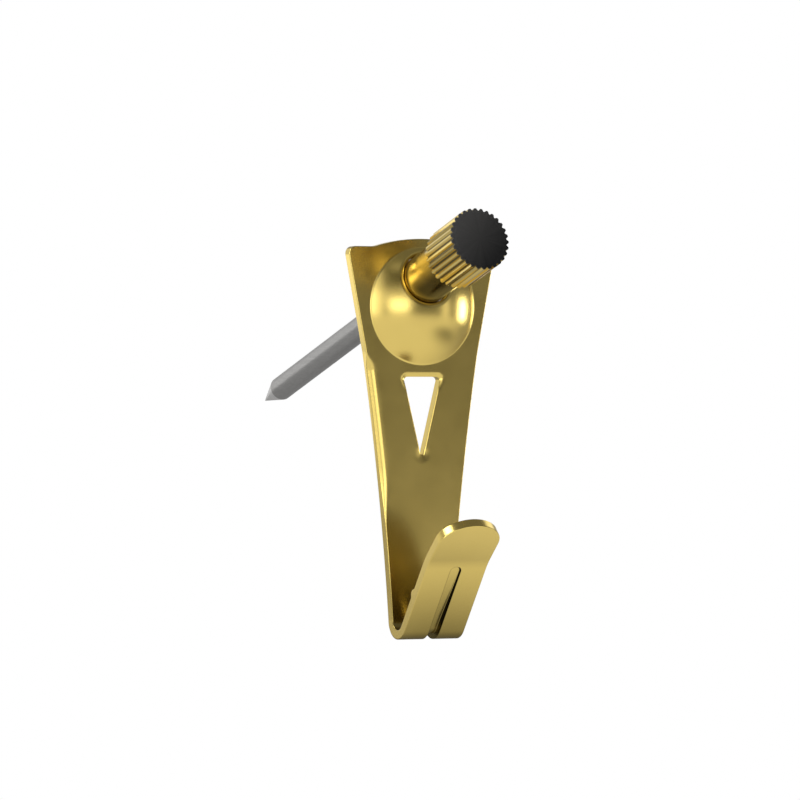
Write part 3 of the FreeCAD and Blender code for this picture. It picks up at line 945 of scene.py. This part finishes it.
# Panels, by bearing from the front (to the right), half width, lift, half height, soft edge and brightness
panels = {
    "backdrop": (153, 16, 4, 14, 6, 1.1),
    "back_left": (-150, 30, 24, 30, 8, 0.9),
    "back_left_low": (-156, 20, -11, 7, 3, 1.6),
    "back_right": (116, 20, 30, 11, 6, 1.5),
    "right_high": (36, 10, 26, 8, 6, 0.32),
    "high_front": (-14, 22, 36, 11, 5, 0.11),
    "overhead_bar": (-10, 11, 48, 4, 4, 0.55),
    "above_camera": (-14, 18, 11, 9, 9, 0.8),
    "left_high": (-54, 20, 35, 11, 4, 1.0),
    "left": (-60, 24, 3, 20, 10, 2.4),
    "left_core": (-78, 10, 4, 9, 5, 5.0),
    "dark_gap": (19, 6, 10, 8, 5, 0.08),
    "by_camera": (-12, 12, 1.5, 7.5, 5, 3.0),
    "front_right": (48, 5, -2, 10, 5, 1.4),
}
for middle, half_wide, height, half_tall, soft, bright in panels.values():
    inside = 1.0
    for angle, centre, half in ((bearing, middle, half_wide), (lift, height, half_tall)):
        aside = add(tree, "ShaderNodeMath", {0: angle, 1: centre}, operation="SUBTRACT")
        away = add(tree, "ShaderNodeMath", {0: aside}, operation="ABSOLUTE")
        edge = add(tree, "ShaderNodeMapRange", {
            "Value": away, "From Min": half - soft, "From Max": half + soft,
            "To Min": 1.0, "To Max": 0.0}, interpolation_type="SMOOTHSTEP")
        inside = add(tree, "ShaderNodeMath", {0: inside, 1: edge}, operation="MULTIPLY")
    around = add(tree, "ShaderNodeMix", {0: inside, 2: around, 3: bright})
seen = add(tree, "ShaderNodeLightPath").outputs["Is Camera Ray"]
bright_room = add(tree, "ShaderNodeMix", {0: seen, 2: around, 3: 1.0})
light = add(tree, "ShaderNodeBackground", {"Color": linear(WHITE), "Strength": bright_room})
add(tree, "ShaderNodeOutputWorld", {"Surface": light})

# The card lies just under the hook: brighter towards the camera and far out at the back left,
# with two soft dark spots, given by middle, inner and outer radius in millimetres and level:
# a painted shadow of the hook under it, and a dark place in the card's light at the front right.
CAMERA_TURN = math.radians(27.3)
CARD_DROP = 0.028
CARD_RADIUS = 0.16
CARD_SIDES = 64
CARD_BACK, CARD_NEAR, CARD_FAR = 0.38, 0.96, 1.4
CARD_NEARS = (-0.03, 0.014)
CARD_BRIGHTENS = (0.120, 0.145)
dark_spots = {
    # Painted shadow of the hook on the card
    "painted_hook_shadow": ((2.0, 9.0, 0.0), 9.0, 19.0, 0.15),
    "front_gap": ((46.0, -33.0, 0.0), 4.0, 28.0, 0.28),
}
card_mesh = bpy.data.meshes.new("card")
rim = [2 * math.pi * i / CARD_SIDES for i in range(CARD_SIDES)]
card_rim = [(CARD_RADIUS * math.cos(turn), CARD_RADIUS * math.sin(turn), -CARD_DROP) for turn in rim]
card_mesh.from_pydata(card_rim, [], [tuple(range(CARD_SIDES))])
card = bpy.data.objects.new("card", card_mesh)
scene.collection.objects.link(card)
card_light, tree = new_material("pale_card_lit")
place_on = add(tree, "ShaderNodeTexCoord").outputs["Object"]
on_card = add(tree, "ShaderNodeVectorMath", {0: place_on, 1: (1.0, 1.0, 0.0)}, operation="MULTIPLY")
to_camera = (-math.sin(CAMERA_TURN), -math.cos(CAMERA_TURN), 0.0)
nearer = add(tree, "ShaderNodeVectorMath", {0: on_card, 1: to_camera}, operation="DOT_PRODUCT")
level = add(tree, "ShaderNodeMapRange", {
    "Value": nearer.outputs["Value"], "From Min": CARD_NEARS[0], "From Max": CARD_NEARS[1],
    "To Min": CARD_BACK, "To Max": CARD_NEAR}, interpolation_type="SMOOTHSTEP")
for spot_middle, inner, outer, dark in dark_spots.values():
    off = add(tree, "ShaderNodeVectorMath", {0: on_card, 1: Vector(spot_middle) * MM}, operation="DISTANCE")
    shade = add(tree, "ShaderNodeMapRange", {
        "Value": off.outputs["Value"], "From Min": inner * MM, "From Max": outer * MM,
        "To Min": dark, "To Max": 1.0}, interpolation_type="SMOOTHSTEP")
    level = add(tree, "ShaderNodeMath", {0: level, 1: shade}, operation="MULTIPLY")
to_back_left = (-math.sqrt(0.5), math.sqrt(0.5), 0.0)
farther = add(tree, "ShaderNodeVectorMath", {0: on_card, 1: to_back_left}, operation="DOT_PRODUCT")
far_out = add(tree, "ShaderNodeMapRange", {
    "Value": farther.outputs["Value"], "From Min": CARD_BRIGHTENS[0], "From Max": CARD_BRIGHTENS[1]},
    interpolation_type="SMOOTHSTEP")
level = add(tree, "ShaderNodeMix", {0: far_out, 2: level, 3: CARD_FAR})
glow = add(tree, "ShaderNodeEmission", {"Color": linear(WHITE), "Strength": level})
add(tree, "ShaderNodeOutputMaterial", {"Surface": glow})
card_mesh.materials.append(card_light)
card.visible_camera = False

# Two strong soft boxes, by bearing, lift, width, height and brightness
BOX_DISTANCE = 1.0
soft_boxes = {
    "box_right": (76, -4, 0.22, 0.35, 9.0),
    "box_high_left": (-100, 45, 0.44, 0.40, 7.0),
}
hook_middle = (cad_low + cad_high) / 2
for name, (box_bearing, box_lift, wide, tall, bright) in soft_boxes.items():
    lamp = bpy.data.lights.new(name, "AREA")
    lamp.shape = "RECTANGLE"
    lamp.size = wide
    lamp.size_y = tall
    lamp.energy = bright * math.pi * wide * tall
    box = bpy.data.objects.new(name, lamp)
    scene.collection.objects.link(box)
    turn, rise = math.radians(box_bearing), math.radians(box_lift)
    ahead = Vector((math.sin(turn), -math.cos(turn), 0.0))
    outward = ahead * math.cos(rise) + Vector((0.0, 0.0, math.sin(rise)))
    box.location = hook_middle + outward * BOX_DISTANCE
    box.rotation_euler = outward.to_track_quat("Z", "Y").to_euler()

# Camera: a long lens, level, as the picture was taken
CAMERA_TARGET = Vector((-1.505, 0.0, -8.572)) * MM
CAMERA_DISTANCE = 440 * MM
LENS = 265.1
SENSOR = 36.0
CLIP_START = 0.01
view_line = Vector((math.sin(CAMERA_TURN), math.cos(CAMERA_TURN), 0.0))
camera = bpy.data.cameras.new("camera")
camera.lens = LENS
camera.sensor_width = SENSOR
camera.clip_start = CLIP_START
camera_stand = bpy.data.objects.new("camera", camera)
scene.collection.objects.link(camera_stand)
camera_stand.location = CAMERA_TARGET - view_line * CAMERA_DISTANCE
camera_stand.rotation_euler = (-view_line).to_track_quat("Z", "Y").to_euler()
scene.camera = camera_stand
